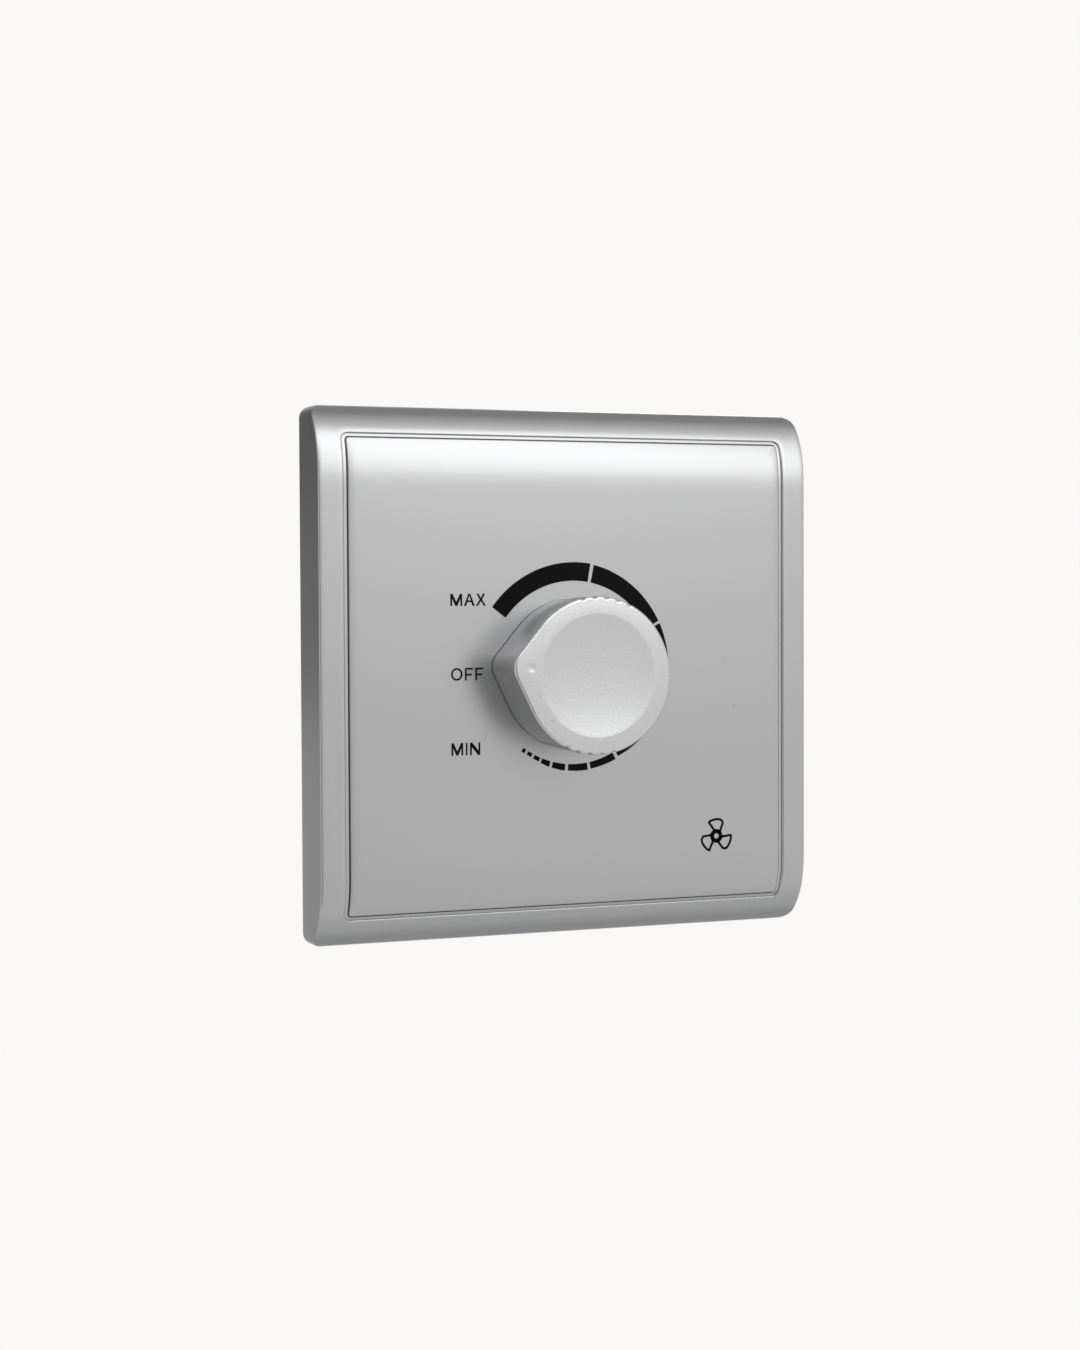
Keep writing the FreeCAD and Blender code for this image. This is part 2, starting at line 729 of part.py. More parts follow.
def triac_clip():
    back, face = sink_face - sink_thickness, sink_face + triac_thickness
    edge = board_front - sink_height
    low = triac_z - clip_width / 2
    corners = [(back, edge + clip_grip), (back - clip_thickness, edge + clip_grip),
               (back - clip_thickness, edge - clip_thickness), (face + clip_thickness, edge - clip_thickness),
               (face + clip_thickness, edge + clip_grip), (face, edge + clip_grip), (face, edge), (back, edge)]
    return prism([Vector(x, y, low) for x, y in corners], Vector(0, 0, clip_width))


def thermal_fuse():
    thick, deep, high = thermal_fuse_size
    far = board_front - triac_lift
    return block(sink_face, sink_face + thick, far - deep, far, sink_high - part_gap - high, sink_high - part_gap)


def chip(place, size):
    """A flat part soldered to the face of the board."""
    wide, deep, high = size
    return centred_block(wide / 2, high / 2, board_front - deep, board_front, place[0], place[1])


def resistors():
    places = [(board_half_x - inset, z) for inset, z in resistor_insets]
    return Part.makeCompound([chip(place, resistor_size) for place in places])


def terminal_body():
    half = terminal_width / 2
    body = block(-half, half, board_back, board_back + terminal_height, terminal_low, terminal_high)
    cuts = []
    for side in (-1, 1):
        x = side * terminal_pitch / 2
        pocket_half = clamp_width / 2 + clamp_gap
        pocket = block(x - pocket_half, x + pocket_half, board_back, board_back + clamp_height + clamp_gap,
                       clamp_low - clamp_gap, clamp_low + clamp_length + clamp_gap)
        entry = block(x - wire_entry_half, x + wire_entry_half, wire_bore_y - wire_entry_half,
                      wire_bore_y + wire_entry_half, terminal_low, terminal_low + terminal_front_wall)
        access = rod(terminal_head_radius + terminal_head_gap, board_back + clamp_height,
                     board_back + terminal_height, x, clamp_middle())
        cuts += [pocket, entry, access]
    return body.cut(cuts)


def terminal_clamps():
    clamps = []
    for side in (-1, 1):
        x = side * terminal_pitch / 2
        clamp = block(x - clamp_width / 2, x + clamp_width / 2, board_back, board_back + clamp_height,
                      clamp_low, clamp_low + clamp_length)
        bore = Part.makeCylinder(wire_bore_radius, clamp_length, Vector(x, wire_bore_y, clamp_low), ALONG_Z)
        tapped = rod(terminal_screw_radius + slip_fit, wire_bore_y, board_back + clamp_height, x, clamp_middle())
        clamps.append(clamp.cut([bore, tapped]).fuse(board_pin(x, clamp_middle())).removeSplitter())
    return Part.makeCompound(clamps)


def terminal_screws():
    screws = []
    for side in (-1, 1):
        x, z = side * terminal_pitch / 2, clamp_middle()
        seat = board_back + clamp_height
        shank = rod(terminal_screw_radius, wire_bore_y + wire_bore_radius, seat, x, z)
        head = rod(terminal_head_radius, seat, seat + terminal_head_height, x, z)
        slot = block(x - terminal_head_radius, x + terminal_head_radius,
                     seat + terminal_head_height - drive_slot_depth, seat + terminal_head_height,
                     z - drive_slot_width / 2, z + drive_slot_width / 2)
        screws.append(shank.fuse(head).cut(slot).removeSplitter())
    return Part.makeCompound(screws)


pieces = {
    "surround_frame": surround_frame(),
    "front_panel": front_panel(),
    "mounting_yoke": mounting_yoke(),
    "rear_housing": rear_housing(),
    "control_knob": control_knob(),
    "knob_spring": knob_spring(),
    "control_shaft": control_shaft(),
    "wiper_carrier": wiper_carrier(),
    "wiper_contact": wiper_contact(),
    "pot_bush": pot_bush(),
    "bush_nut": bush_nut(),
    "track_wafer": track_wafer(),
    "pot_lugs": pot_lugs(),
    "pot_can": pot_can(),
    "switch_housing": switch_housing(),
    "switch_lugs": switch_lugs(),
    "circuit_board": circuit_board(),
    "choke_core": choke_core(),
    "choke_winding": choke_winding(),
    "suppression_capacitor": box_capacitor(*capacitor_places()[0]),
    "timing_capacitor": box_capacitor(*capacitor_places()[1]),
    "heat_sink": heat_sink(),
    "triac": triac(),
    "triac_clip": triac_clip(),
    "thermal_fuse": thermal_fuse(),
    "resistors": resistors(),
    "diac": chip((diac_x, diac_z), diac_size),
    "terminal_body": terminal_body(),
    "terminal_clamps": terminal_clamps(),
    "terminal_screws": terminal_screws(),
}

os.makedirs("parts", exist_ok=True)
for name, shape in pieces.items():
    shape.exportStep(f"parts/{name}.step")
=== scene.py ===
# A rotary fan speed control on a square silver wall plate, with the module that sits in the wall box.
# Metres. X is right, Z is up, the front faces -Y and the wall is the plane y = 0.
import math

import bmesh
import bpy
from mathutils import Matrix, Vector


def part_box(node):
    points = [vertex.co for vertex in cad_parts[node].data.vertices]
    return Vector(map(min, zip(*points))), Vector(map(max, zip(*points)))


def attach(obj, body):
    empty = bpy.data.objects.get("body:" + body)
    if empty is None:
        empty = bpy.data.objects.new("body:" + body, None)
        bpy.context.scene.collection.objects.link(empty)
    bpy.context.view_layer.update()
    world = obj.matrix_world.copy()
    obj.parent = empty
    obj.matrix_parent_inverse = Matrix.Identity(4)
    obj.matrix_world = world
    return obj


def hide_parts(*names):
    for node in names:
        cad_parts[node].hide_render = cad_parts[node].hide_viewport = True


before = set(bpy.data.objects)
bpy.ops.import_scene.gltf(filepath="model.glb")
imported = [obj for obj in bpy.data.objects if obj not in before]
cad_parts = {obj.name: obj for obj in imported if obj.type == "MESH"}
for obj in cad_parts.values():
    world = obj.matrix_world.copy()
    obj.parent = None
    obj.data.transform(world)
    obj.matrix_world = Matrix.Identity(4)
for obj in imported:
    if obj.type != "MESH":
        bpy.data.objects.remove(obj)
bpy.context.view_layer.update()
mm = 0.001

# Surround frame
# One ABS moulding sprayed with fine silver paint. It rolls back at the top and bottom, has a shallow
# step that the panel lies in, and clips over the yoke by four nibs inside its skirt.
frame_low, frame_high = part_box("surround_frame")
half_width, half_height, plate_depth = frame_high.x, frame_high.z, -frame_low.y
plate_corner = 2.0 * mm
roll_height = 13.5 * mm
roll_start = half_height - roll_height
top_drop, low_drop = 0.0020 / mm ** 2, 0.0024 / mm ** 2
end_round = 0.9 * mm
frame_edge = 0.3 * mm
step_edge = 0.32 * mm
skirt_wall = 2.0 * mm
skirt_corner = 1.0 * mm
side_band, end_band = 4.3 * mm, 4.6 * mm
opening_x, opening_z = half_width - side_band, half_height - end_band
opening_corner = 1.2 * mm
ledge_width = 2.0 * mm
ledge_back = 2.3 * mm
reveal_depth = 0.8 * mm
land_width, land_depth = 0.5 * mm, 0.35 * mm
side_steps, corner_steps, edge_steps, band_steps = 48, 10, 5, 6
sharp_angle = math.radians(38)
join_distance = 1e-7
plate_grey, plate_roughness = 0.44, 0.29


def face_y(z, inset=0.0):
    """Depth of the front at one height, set back by inset. It rolls back ever more steeply to the end."""
    rise = max(abs(z) - roll_start, 0.0)
    roll_drop = top_drop if z > 0 else low_drop
    turn = max(abs(z) - half_height + end_round, 0.0)
    tail = end_round - math.sqrt(max(end_round ** 2 - turn ** 2, 0.0))
    return inset - plate_depth + roll_drop * rise ** 3 + tail


def rounded_ring(half_x, half_z, corner, depth):
    """A rounded rectangle seen from the front, as points at the depth that depth(z) gives."""
    points = []
    reach_x, reach_z = half_x - corner, half_z - corner
    for quarter in range(4):
        turn = quarter * math.pi / 2
        along, out = (reach_z, half_x) if quarter % 2 == 0 else (reach_x, half_z)
        for step in range(side_steps):
            place = -along * math.cos(math.pi * step / side_steps)
            points.append((out * math.cos(turn) - place * math.sin(turn),
                           out * math.sin(turn) + place * math.cos(turn)))
        middle = (out - corner, along)
        for step in range(corner_steps):
            angle = math.pi / 2 * step / corner_steps
            x, z = middle[0] + corner * math.cos(angle), middle[1] + corner * math.sin(angle)
            points.append((x * math.cos(turn) - z * math.sin(turn),
                           x * math.sin(turn) + z * math.cos(turn)))
    return [Vector((x, depth(z), z)) for x, z in points]


def mesh_piece(name, points, faces):
    """A smooth-shaded piece with its faces turned outwards and its hard edges marked."""
    mesh = bpy.data.meshes.new(name)
    mesh.from_pydata(points, [], faces)
    shell = bmesh.new()
    shell.from_mesh(mesh)
    bmesh.ops.remove_doubles(shell, verts=shell.verts, dist=join_distance)
    bmesh.ops.recalc_face_normals(shell, faces=shell.faces)
    shell.to_mesh(mesh)
    shell.free()
    mesh.shade_smooth()
    mesh.set_sharp_from_angle(angle=sharp_angle)
    piece = bpy.data.objects.new(name, mesh)
    bpy.context.scene.collection.objects.link(piece)
    return piece


def skin(rings, closed):
    """Points and faces of a surface through rings of equal length."""
    count = len(rings[0])
    points = [point for ring in rings for point in ring]
    faces = []
    for row in range(len(rings) if closed else len(rings) - 1):
        here, there = row * count, (row + 1) % len(rings) * count
        for place in range(count):
            beside = (place + 1) % count
            faces.append((here + place, here + beside, there + beside, there + place))
    return points, faces


def rounded_edge(half_x, half_z, corner, radius, outwards):
    """Rings over the round edge between the rolled face and a wall, from the wall to the face."""
    rings = []
    for step in range(edge_steps + 1):
        angle = math.pi / 2 * step / edge_steps
        inset = outwards * radius * (1 - math.cos(angle))
        drop = radius * (1 - math.sin(angle))
        rings.append(rounded_ring(half_x - inset, half_z - inset, corner - inset,
                                  lambda z, drop=drop: face_y(z) + drop))
    return rings


def add_prism(points, faces, near, far):
    """Adds a straight prism between two equal outlines."""
    first, count = len(points), len(near)
    points += near + far
    faces.append(tuple(first + k for k in range(count)))
    faces.append(tuple(first + count + k for k in reversed(range(count))))
    for k in range(count):
        beside = (k + 1) % count
        faces.append((first + k, first + beside, first + count + beside, first + count + k))


rings = [rounded_ring(half_width, half_height, plate_corner, lambda z: 0.0)]
rings += rounded_edge(half_width, half_height, plate_corner, frame_edge, 1)
for step in range(1, band_steps):
    share = step / band_steps
    inner_x, inner_z = opening_x + step_edge, opening_z + step_edge
    outer_x, outer_z = half_width - frame_edge, half_height - frame_edge
    rings.append(rounded_ring(outer_x + (inner_x - outer_x) * share, outer_z + (inner_z - outer_z) * share,
                              plate_corner - frame_edge, face_y))
rings += reversed(rounded_edge(opening_x, opening_z, opening_corner, step_edge, -1))
rings.append(rounded_ring(opening_x, opening_z, opening_corner, lambda z: face_y(z, land_depth)))
for back in (land_depth, reveal_depth):
    rings.append(rounded_ring(opening_x - land_width, opening_z - land_width, opening_corner - land_width,
                              lambda z, back=back: face_y(z, back)))
for back in (reveal_depth, ledge_back):
    rings.append(rounded_ring(opening_x - ledge_width, opening_z - ledge_width, opening_corner,
                              lambda z, back=back: face_y(z, back)))
skirt_x, skirt_z = half_width - skirt_wall, half_height - skirt_wall
rings.append(rounded_ring(skirt_x, skirt_z, skirt_corner, lambda z: face_y(z, ledge_back)))
rings.append(rounded_ring(skirt_x, skirt_z, skirt_corner, lambda z: 0.0))
frame_points, frame_faces = skin(rings, True)
nib_reach, nib_front, nib_land, nib_back = 0.8 * mm, -1.3 * mm, 0.4 * mm, -0.4 * mm
nib_z, nib_half = 22.0 * mm, 4.0 * mm
nib_outline = [(skirt_x + skirt_wall / 2, nib_front), (skirt_x - nib_reach, nib_front),
               (skirt_x - nib_reach, nib_front + nib_land), (skirt_x + skirt_wall / 2, nib_back)]
for side_x in (-1, 1):
    for side_z in (-1, 1):
        near, far = ([Vector((side_x * x, y, side_z * nib_z + end)) for x, y in nib_outline]
                     for end in (-nib_half, nib_half))
        add_prism(frame_points, frame_faces, near, far)
surround = mesh_piece("silver_surround", frame_points, frame_faces)

# The paint's fine flakes, its orange peel and a few nicks, shared by the three sprayed mouldings.
flakes = bpy.data.node_groups.new("silver_flakes", "ShaderNodeTree")
for name, value in (("Flake size", 0.16 * mm), ("Peel size", 0.9 * mm), ("Nick spacing", 7.0 * mm)):
    socket = flakes.interface.new_socket(name=name, in_out="INPUT", socket_type="NodeSocketFloat")
    socket.default_value = value
for name in ("Flakes", "Peel", "Nicks"):
    flakes.interface.new_socket(name=name, in_out="OUTPUT", socket_type="NodeSocketFloat")
noise_low, noise_high = 0.3, 0.7
nick_core, nick_rim = 0.025, 0.05


def add_node(tree, kind, sockets=(), **settings):
    """A node with its settings, and its input sockets set or linked by name."""
    node = tree.nodes.new(kind)
    for key, value in settings.items():
        setattr(node, key, value)
    for key, value in dict(sockets).items():
        socket = node.inputs[key]
        if isinstance(value, bpy.types.NodeSocket):
            tree.links.new(value, socket)
        else:
            socket.default_value = value
    return node


def maths(tree, operation, first, second=0.0):
    """One sum on values or sockets."""
    return add_node(tree, "ShaderNodeMath", {0: first, 1: second}, operation=operation).outputs[0]


def ranged(tree, value, low, high, new_low, new_high):
    """A value moved from one range to another."""
    node = add_node(tree, "ShaderNodeMapRange", {0: value, 1: low, 2: high, 3: new_low, 4: new_high})
    return node.outputs[0]


given = flakes.nodes.new("NodeGroupInput").outputs
made = flakes.nodes.new("NodeGroupOutput").inputs
place = flakes.nodes.new("ShaderNodeTexCoord").outputs["Object"]
fine = add_node(flakes, "ShaderNodeTexNoise", {"Vector": place, "Detail": 3.0, "Roughness": 0.65,
                                              "Scale": maths(flakes, "DIVIDE", 1.0, given["Flake size"])})
broad = add_node(flakes, "ShaderNodeTexNoise", {"Vector": place, "Detail": 2.0, "Distortion": 0.6,
                                               "Scale": maths(flakes, "DIVIDE", 1.0, given["Peel size"])})
cells = add_node(flakes, "ShaderNodeTexVoronoi", {
    "Vector": place, "Scale": maths(flakes, "DIVIDE", 1.0, given["Nick spacing"])})
flakes.links.new(fine.outputs[0], made["Flakes"])
flakes.links.new(broad.outputs[0], made["Peel"])
flakes.links.new(ranged(flakes, cells.outputs["Distance"], nick_core, nick_rim, 1.0, 0.0), made["Nicks"])


def silver_paint(name, grey, roughness):
    """Satin aluminium paint: a flaky grey base with a soft, slightly uneven gloss."""
    metallic, nick_shade = 0.85, 0.85
    flake_spread, gloss_spread = 0.012, 0.012
    red_tint, blue_tint = 0.992, 1.016
    flake_height, bump_strength, bump_depth = 0.05, 0.26, 0.012 * mm
    paint = bpy.data.materials.new(name)
    paint.use_nodes = True
    tree = paint.node_tree
    gloss = tree.nodes["Principled BSDF"]
    effect = add_node(tree, "ShaderNodeGroup", node_tree=flakes)
    flake = ranged(tree, effect.outputs["Flakes"], noise_low, noise_high,
                   (1 - flake_spread) * grey, (1 + flake_spread) * grey)
    nick = ranged(tree, effect.outputs["Nicks"], 0.0, 1.0, 1.0, nick_shade)
    level = maths(tree, "MULTIPLY", flake, nick)
    red, blue = (maths(tree, "MULTIPLY", level, tint) for tint in (red_tint, blue_tint))
    colour = add_node(tree, "ShaderNodeCombineColor", {"Red": red, "Green": level, "Blue": blue})
    tree.links.new(colour.outputs[0], gloss.inputs["Base Color"])
    uneven = ranged(tree, effect.outputs["Flakes"], noise_low, noise_high,
                    roughness - gloss_spread, roughness + gloss_spread)
    tree.links.new(uneven, gloss.inputs["Roughness"])
    fine_height = maths(tree, "MULTIPLY", effect.outputs["Flakes"], flake_height)
    swell = maths(tree, "ADD", effect.outputs["Peel"], fine_height)
    height = maths(tree, "SUBTRACT", swell, effect.outputs["Nicks"])
    bump = add_node(tree, "ShaderNodeBump", {"Strength": bump_strength, "Distance": bump_depth,
                                             "Height": height})
    tree.links.new(bump.outputs[0], gloss.inputs["Normal"])
    gloss.inputs["Metallic"].default_value = metallic
    return paint


surround.data.materials.append(silver_paint("surround_silver", plate_grey, plate_roughness))
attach(surround, "body")
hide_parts("surround_frame")

# Front panel
# A second ABS moulding in the same paint. Its lip lies in the frame's step and leaves a narrow shadow
# gap all round, and four hooks behind it snap into the yoke.
reveal_width = 0.7 * mm
panel_x, panel_z = opening_x - reveal_width, opening_z - reveal_width
panel_corner = 0.5 * mm
panel_edge = 0.12 * mm
lip_back = 0.75 * mm
panel_back = 2.2 * mm
seat_inset = 2.2 * mm
seat_x, seat_z = opening_x - seat_inset, opening_z - seat_inset
knob_hole = 6.4 * mm
face_steps, face_crowding = 14, 0.6


def hole_ring(depth):
    """The hole for the knob's boss, with its points beside those of the rounded rings."""
    ring = rounded_ring(panel_x, panel_x, panel_corner, lambda z: 0.0)
    return [Vector((p.x, 0, p.z)).normalized() * knob_hole + Vector((0, depth, 0)) for p in ring]


rings = [hole_ring(-plate_depth)]
for step in range(1, face_steps + 1):
    share = (step / face_steps) ** face_crowding
    half_x = knob_hole + (panel_x - panel_edge - knob_hole) * share
    half_z = knob_hole + (panel_z - panel_edge - knob_hole) * share
    corner = knob_hole * (1 - share) + (panel_corner - panel_edge) * share
    rings.append(rounded_ring(half_x, half_z, corner, face_y))
rings += reversed(rounded_edge(panel_x, panel_z, panel_corner, panel_edge, 1)[:-1])
rings.append(rounded_ring(panel_x, panel_z, panel_corner, lambda z: face_y(z, lip_back)))
for back in (lip_back, panel_back):
    rings.append(rounded_ring(seat_x, seat_z, opening_corner, lambda z, back=back: face_y(z, back)))
rings.append(hole_ring(panel_back - plate_depth))
panel_points, panel_faces = skin(rings, True)
hook_x, hook_z, hook_half_x, hook_half_z = 22.0 * mm, 31.0 * mm, 3.0 * mm, 0.7 * mm
hook_root, hook_catch, hook_land, hook_tip, hook_barb = -8.0 * mm, -1.3 * mm, -0.9 * mm, -0.4 * mm, 0.7 * mm
hook_outline = [(hook_root, -hook_half_z), (hook_root, hook_half_z), (hook_catch, hook_half_z),
                (hook_catch, hook_half_z + hook_barb), (hook_land, hook_half_z + hook_barb),
                (hook_tip, hook_half_z), (hook_tip, -hook_half_z)]
for side_x in (-1, 1):
    for side_z in (-1, 1):
        near, far = ([Vector((side_x * hook_x + end, y, side_z * (hook_z + z))) for y, z in hook_outline]
                     for end in (-hook_half_x, hook_half_x))
        add_prism(panel_points, panel_faces, near, far)
panel = mesh_piece("silver_panel", panel_points, panel_faces)
panel.data.materials.append(silver_paint("panel_silver", plate_grey, plate_roughness))
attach(panel, "body")
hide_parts("front_panel")

# Scale
# The arc of dashes round the knob, screen printed in black ink. The dashes shrink from MAX round to
# MIN, and each one is a strip of ink a few hundredths of a millimetre thick.
ink_depth = 0.02 * mm
scale_inner = 15.1 * mm
scale_centre = (0.3 * mm, 0.2 * mm)
dash_steps = 32
dashes = ((143.0, 80.2, 18.05, 18.18), (78.2, 28.4, 18.1, 17.6), (27.0, -9.5, 17.62, 17.2),
          (-11.4, -38.8, 17.15, 16.7), (-40.7, -60.4, 16.6, 16.12), (-62.5, -79.4, 16.34, 16.23),
          (-81.2, -94.0, 16.31, 16.19), (-95.9, -104.5, 16.22, 16.08), (-106.2, -112.1, 16.06, 15.9),
          (-113.5, -117.6, 15.8, 15.79), (-119.3, -122.5, 15.75, 15.72), (-124.2, -126.5, 15.82, 15.81))
ink = bpy.data.materials.new("printing_ink")
ink.use_nodes = True
ink_gloss = ink.node_tree.nodes["Principled BSDF"]
ink_effect = add_node(ink.node_tree, "ShaderNodeGroup", {"Flake size": 0.3 * mm}, node_tree=flakes)
ink_colour = add_node(ink.node_tree, "ShaderNodeValToRGB", {"Fac": ink_effect.outputs["Flakes"]})
ink_colour.color_ramp.elements[0].color = (0.003, 0.003, 0.003, 1)
ink_colour.color_ramp.elements[1].color = (0.008, 0.008, 0.008, 1)
ink.node_tree.links.new(ink_colour.outputs[0], ink_gloss.inputs["Base Color"])
ink_smooth, ink_rough, ink_shine = 0.5, 0.6, 0.06
ink_uneven = ranged(ink.node_tree, ink_effect.outputs["Flakes"], noise_low, noise_high, ink_smooth, ink_rough)
ink.node_tree.links.new(ink_uneven, ink_gloss.inputs["Roughness"])
ink_gloss.inputs["Specular IOR Level"].default_value = ink_shine

dash_tree = bpy.data.node_groups.new("scale_dash", "GeometryNodeTree")
for name in ("Start", "End", "Inner", "Outer start", "Outer end", "Depth"):
    dash_tree.interface.new_socket(name=name, in_out="INPUT", socket_type="NodeSocketFloat")
dash_tree.interface.new_socket(name="Dash", in_out="OUTPUT", socket_type="NodeSocketGeometry")
given = dash_tree.nodes.new("NodeGroupInput").outputs
grid = add_node(dash_tree, "GeometryNodeMeshGrid", {"Size X": 1.0, "Size Y": 1.0, "Vertices X": dash_steps,
                                                    "Vertices Y": 2})
spot = add_node(dash_tree, "ShaderNodeSeparateXYZ",
                {0: dash_tree.nodes.new("GeometryNodeInputPosition").outputs[0]})
angle = ranged(dash_tree, spot.outputs[0], -0.5, 0.5, given["Start"], given["End"])
outer = ranged(dash_tree, spot.outputs[0], -0.5, 0.5, given["Outer start"], given["Outer end"])
radius = ranged(dash_tree, spot.outputs[1], -0.5, 0.5, given["Inner"], outer)
bent = add_node(dash_tree, "ShaderNodeCombineXYZ", {
    0: maths(dash_tree, "MULTIPLY", radius, maths(dash_tree, "COSINE", angle)),
    2: maths(dash_tree, "MULTIPLY", radius, maths(dash_tree, "SINE", angle))})
strip = add_node(dash_tree, "GeometryNodeSetPosition", {"Geometry": grid.outputs[0],
                                                        "Position": bent.outputs[0]})
lift = add_node(dash_tree, "ShaderNodeCombineXYZ", {1: maths(dash_tree, "MULTIPLY", given["Depth"], -1.0)})
raised = add_node(dash_tree, "GeometryNodeExtrudeMesh", {"Mesh": strip.outputs[0], "Offset": lift.outputs[0],
                                                         "Offset Scale": 1.0, "Individual": False})
whole = add_node(dash_tree, "GeometryNodeJoinGeometry", {0: raised.outputs[0]})
dash_tree.links.new(strip.outputs[0], whole.inputs[0])
single = add_node(dash_tree, "GeometryNodeRealizeInstances", {0: whole.outputs[0]})
inked = add_node(dash_tree, "GeometryNodeSetMaterial", {0: single.outputs[0], "Material": ink})
dash_tree.links.new(inked.outputs[0], dash_tree.nodes.new("NodeGroupOutput").inputs[0])


def from_nodes(name, tree, values, base=None):
    """The mesh that a geometry tree makes with these named inputs."""
    carrier = bpy.data.objects.new(name, base or bpy.data.meshes.new(name))
    bpy.context.scene.collection.objects.link(carrier)
    modifier = carrier.modifiers.new(name, "NODES")
    modifier.node_group = tree
    for item in tree.interface.items_tree:
        if item.in_out == "INPUT" and item.name in values:
            modifier[item.identifier] = values[item.name]
    bpy.context.view_layer.update()
    depsgraph = bpy.context.evaluated_depsgraph_get()
    mesh = bpy.data.meshes.new_from_object(carrier.evaluated_get(depsgraph), depsgraph=depsgraph)
    bpy.data.objects.remove(carrier)
    return mesh


def printed(name, meshes, move):
    """Ink meshes joined into one piece on the face of the panel."""
    layer = bmesh.new()
    for mesh in meshes:
        layer.from_mesh(mesh)
    bmesh.ops.remove_doubles(layer, verts=layer.verts, dist=join_distance)
    bmesh.ops.recalc_face_normals(layer, faces=layer.faces)
    bmesh.ops.translate(layer, verts=layer.verts, vec=move)
    mesh = bpy.data.meshes.new(name)
    layer.to_mesh(mesh)
    layer.free()
    mesh.materials.append(ink)
    piece = bpy.data.objects.new(name, mesh)
    bpy.context.scene.collection.objects.link(piece)
    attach(piece, "body")
    return piece


dash_meshes = []
for start, end, outer_start, outer_end in dashes:
    dash_meshes.append(from_nodes("dash", dash_tree, {
        "Start": math.radians(start), "End": math.radians(end), "Inner": scale_inner,
        "Outer start": outer_start * mm, "Outer end": outer_end * mm, "Depth": ink_depth}))
printed("scale_print", dash_meshes, (scale_centre[0], -plate_depth, scale_centre[1]))

# Words
# MAX, OFF and MIN stand in one column left of the scale, in the same ink. The letters are a plain thin
# sans, drawn as flat outlines with one width of stem.
stem, bar = 0.31 * mm, 0.30 * mm
round_steps = 48
words = (("MAX", -21.35, 11.28, 13.26, ((0.0, 2.05), (2.34, 4.22), (4.40, 6.16))),
         ("OFF", -21.30, -0.78, 1.27, ((0.0, 1.98), (2.40, 3.80), (4.20, 5.60))),
         ("MIN", -21.30, -12.90, -10.85, ((0.0, 2.03), (2.50, 2.78), (3.22, 5.0))))


def letter_outlines(letter, wide, tall):
    """The outlines of one capital, its holes after its outside."""
    half = wide / 2
    lean = 1.25 * stem
    if letter == "M":
        slope = tall / (half - 0.2 * stem)
        foot = half - stem / 2
        left = [(0, 0), (0, tall), (lean, tall), (half, tall - slope * (half - lean))]
        under = [(foot, 0), (stem, slope * (foot - stem)), (stem, 0)]
        return [left + [(wide - x, y) for x, y in reversed(left[:-1])]
                + [(wide - x, y) for x, y in reversed(under)] + under]
    if letter == "N":
        drop = tall / (wide - 0.3 * stem) * (wide - stem - lean)
        return [[(0, 0), (0, tall), (lean, tall), (wide - stem, tall - drop), (wide - stem, tall),
                 (wide, tall), (wide, 0), (wide - lean, 0), (stem, drop), (stem, 0)]]
    if letter == "A":
        low, high, top, apex = 0.3 * tall, 0.3 * tall + bar, 0.55 * stem, 0.86 * tall
        inner_low, inner_high = (lean + (half - lean) * y / apex for y in (low, high))
        return [[(0, 0), (half - top, tall), (half + top, tall), (wide, 0), (wide - lean, 0),
                 (wide - inner_low, low), (inner_low, low), (lean, 0)],
                [(inner_high, high), (half, apex), (wide - inner_high, high)]]
    if letter == "X":
        draw_in, waist, notch = 0.07 * wide, 0.55 * lean, 0.62 * lean
        middle = 0.52 * tall
        return [[(0, 0), (half - waist, middle), (draw_in, tall), (draw_in + lean, tall),
                 (half, middle + notch), (wide - draw_in - lean, tall), (wide - draw_in, tall),
                 (half + waist, middle), (wide, 0), (wide - lean, 0), (half, middle - notch), (lean, 0)]]
    if letter == "F":
        middle = 0.54 * tall
        return [[(0, 0), (0, tall), (wide, tall), (wide, tall - bar), (stem, tall - bar), (stem, middle),
                 (0.87 * wide, middle), (0.87 * wide, middle - bar), (stem, middle - bar), (stem, 0)]]
    if letter == "O":
        return [[(half + (half - across) * math.cos(math.tau * k / round_steps),
                  tall / 2 + (tall / 2 - down) * math.sin(math.tau * k / round_steps))
                 for k in range(round_steps)]
                for across, down in ((0, 0), (stem, bar))]
    return [[(0, 0), (0, tall), (wide, tall), (wide, 0)]]


word_meshes = []
for word, left, low, high, spans in words:
    for letter, (start, end) in zip(word, spans):
        outline = bpy.data.curves.new(letter, "CURVE")
        outline.dimensions, outline.fill_mode, outline.extrude = "2D", "BOTH", ink_depth / 2
        for loop in letter_outlines(letter, (end - start) * mm, (high - low) * mm):
            spline = outline.splines.new("POLY")
            spline.points.add(len(loop) - 1)
            for point, (x, y) in zip(spline.points, loop):
                point.co = (x, y, 0, 1)
            spline.use_cyclic_u = True
        setting = bpy.data.objects.new(letter, outline)
        bpy.context.scene.collection.objects.link(setting)
        bpy.context.view_layer.update()
        mesh = bpy.data.meshes.new_from_object(setting)
        bpy.data.objects.remove(setting)
        for vertex in mesh.vertices:
            x, y, z = vertex.co
            vertex.co = ((left + start) * mm + x, -z - ink_depth / 2, low * mm + y)
        word_meshes.append(mesh)
printed("word_print", word_meshes, (0, -plate_depth, 0))

